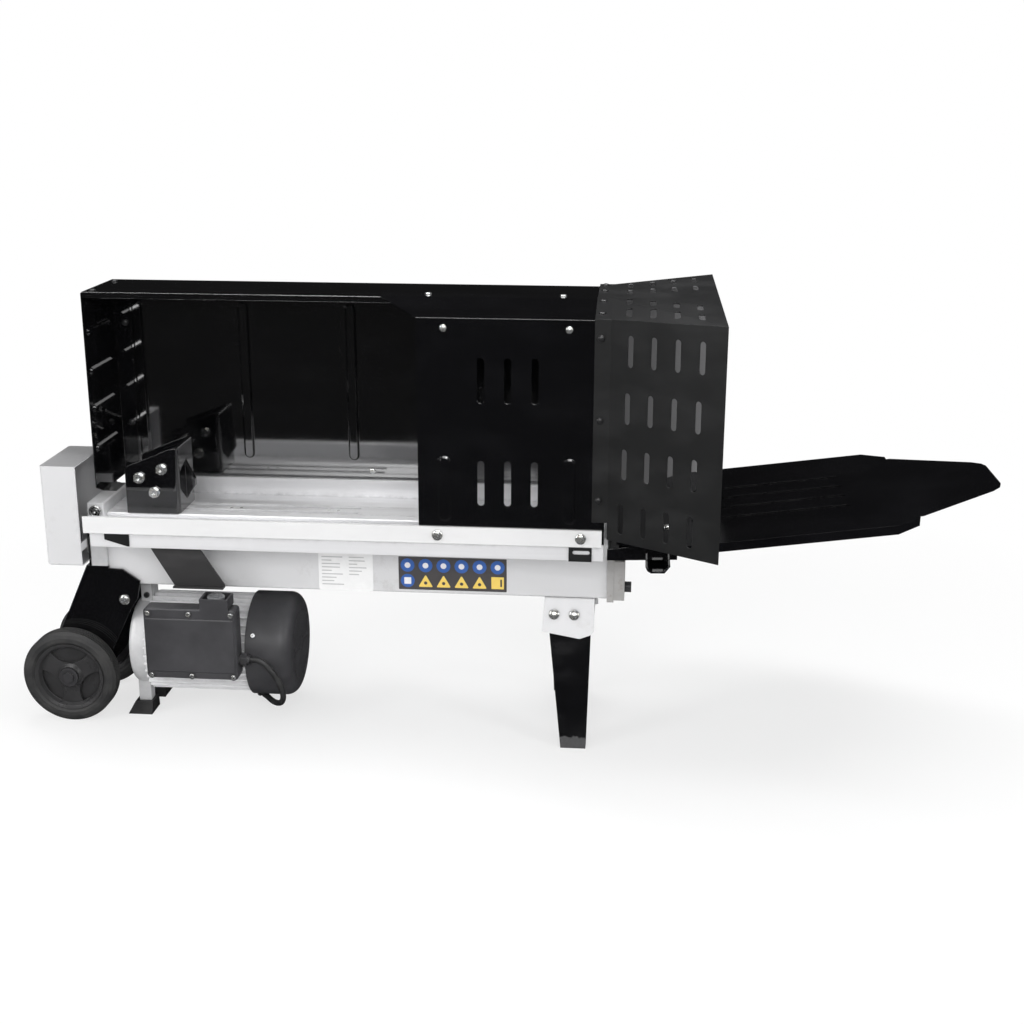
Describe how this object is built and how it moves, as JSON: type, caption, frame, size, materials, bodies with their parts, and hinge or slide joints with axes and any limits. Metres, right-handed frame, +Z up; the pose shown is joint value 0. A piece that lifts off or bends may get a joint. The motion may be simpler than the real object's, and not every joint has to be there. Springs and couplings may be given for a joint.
{
  "type": "log splitter",
  "caption": "Electric-hydraulic horizontal log splitter with sheet guard, outlet hood, catch tray, wheels and splayed legs.",
  "frame": {"origin": "middle of the footprint, on the floor", "axes": "+X from the wheels and motor towards the catch tray, +Y away from the user who stands at the guard's open side, +Z up"},
  "size_m": [1.4543, 0.492, 0.6635],
  "materials": {
    "bed_paint": "satin",
    "beam_paint": "satin",
    "rail_paint": "satin",
    "bare_aluminium": "matte",
    "bare_steel": "satin",
    "cover_paint": "satin",
    "zinc": "satin",
    "gloss_black": "gloss",
    "satin_black": "satin",
    "black_plastic": "matte",
    "clear_grey_plastic": "gloss",
    "tyre_rubber": "matte",
    "black_rubber": "matte",
    "turned_steel": "satin",
    "hard_chrome": "polished"
  },
  "bodies": {
    "root": {"table": "bed_paint", "beam": "beam_paint", "leg_bracket": "beam_paint", "side_rails": "rail_paint", "end_block": "bare_aluminium", "end_bell": "bare_aluminium", "motor_housing": "bare_aluminium", "pump_body": "bare_aluminium", "inner_end_plate": "bare_steel", "outer_end_plate": "bare_steel", "wedge": "bare_steel", "lever_bracket": "bare_steel", "end_cover": "cover_paint", "frame_bolts": "zinc", "small_screws": "zinc", "axle": "zinc", "guard_back": "gloss_black", "guard_end": "gloss_black", "guard_front": "gloss_black", "catch_tray": "gloss_black", "wheel_bracket": "gloss_black", "front_leg": "gloss_black", "rear_leg": "gloss_black", "switch_shield": "gloss_black", "lift_handle": "gloss_black", "outlet_hood": "satin_black", "tray_bracket": "satin_black", "table_brackets": "satin_black", "fan_cowl": "black_plastic", "junction_box": "black_plastic", "box_cover": "black_plastic", "cable_gland": "black_plastic", "dipstick": "black_plastic", "rubber_feet": "black_rubber", "cable": "black_rubber", "valve_plug": "turned_steel", "cylinder_tube": "turned_steel", "gland": "turned_steel", "stator": "turned_steel", "bearings": "turned_steel"},
    "ram": {"pusher": "gloss_black", "pusher_bolts": "zinc", "drive_yoke": "satin_black", "piston_rod": "hard_chrome", "piston": "turned_steel", "piston_seal": "black_rubber"},
    "lever": {"control_lever": "satin_black", "lever_knob": "black_plastic"},
    "spool": {"spool": "turned_steel"},
    "front_wheel": {"front_tyre": "tyre_rubber", "front_hub": "black_plastic", "front_cap": "black_plastic"},
    "rear_wheel": {"rear_tyre": "tyre_rubber", "rear_hub": "black_plastic", "rear_cap": "black_plastic"},
    "rotor": {"rotor": "turned_steel", "fan": "black_plastic", "drive_gear": "turned_steel"},
    "driven_gear": {"driven_gear": "turned_steel"},
    "button": {"push_button": "clear_grey_plastic"}
  },
  "joints": [
    {"name": "pusher_slide", "type": "slide", "parent": "root", "child": "ram", "axis": [1, 0, 0], "range_m": [0, 0.325]},
    {"name": "lever_hinge", "type": "hinge", "parent": "root", "child": "lever", "pos_m": [-0.628, 0.084, 0.333], "axis": [0, 0, -1], "range_deg": [0, 20]},
    {"name": "spool_slide", "type": "slide", "parent": "root", "child": "spool", "axis": [0, -1, 0], "range_m": [0, 0.0095]},
    {"name": "front_wheel_spin", "type": "hinge", "parent": "root", "child": "front_wheel", "pos_m": [-0.654, 0, 0.073], "axis": [0, 1, 0], "continuous": true},
    {"name": "rear_wheel_spin", "type": "hinge", "parent": "root", "child": "rear_wheel", "pos_m": [-0.654, 0, 0.073], "axis": [0, 1, 0], "continuous": true},
    {"name": "rotor_spin", "type": "hinge", "parent": "root", "child": "rotor", "pos_m": [-0.598, 0, 0.1075], "axis": [1, 0, 0], "continuous": true},
    {"name": "driven_gear_spin", "type": "hinge", "parent": "root", "child": "driven_gear", "pos_m": [-0.598, 0, 0.0772], "axis": [1, 0, 0], "continuous": true},
    {"name": "button_press", "type": "slide", "parent": "root", "child": "button", "axis": [0, 0, -1], "range_m": [0, 0.004]}
  ],
  "couplings": [
    {"joint": "spool_slide", "follows": "lever_hinge", "m_per_rad": 0.0245},
    {"joint": "driven_gear_spin", "follows": "rotor_spin", "ratio": -1}
  ]
}
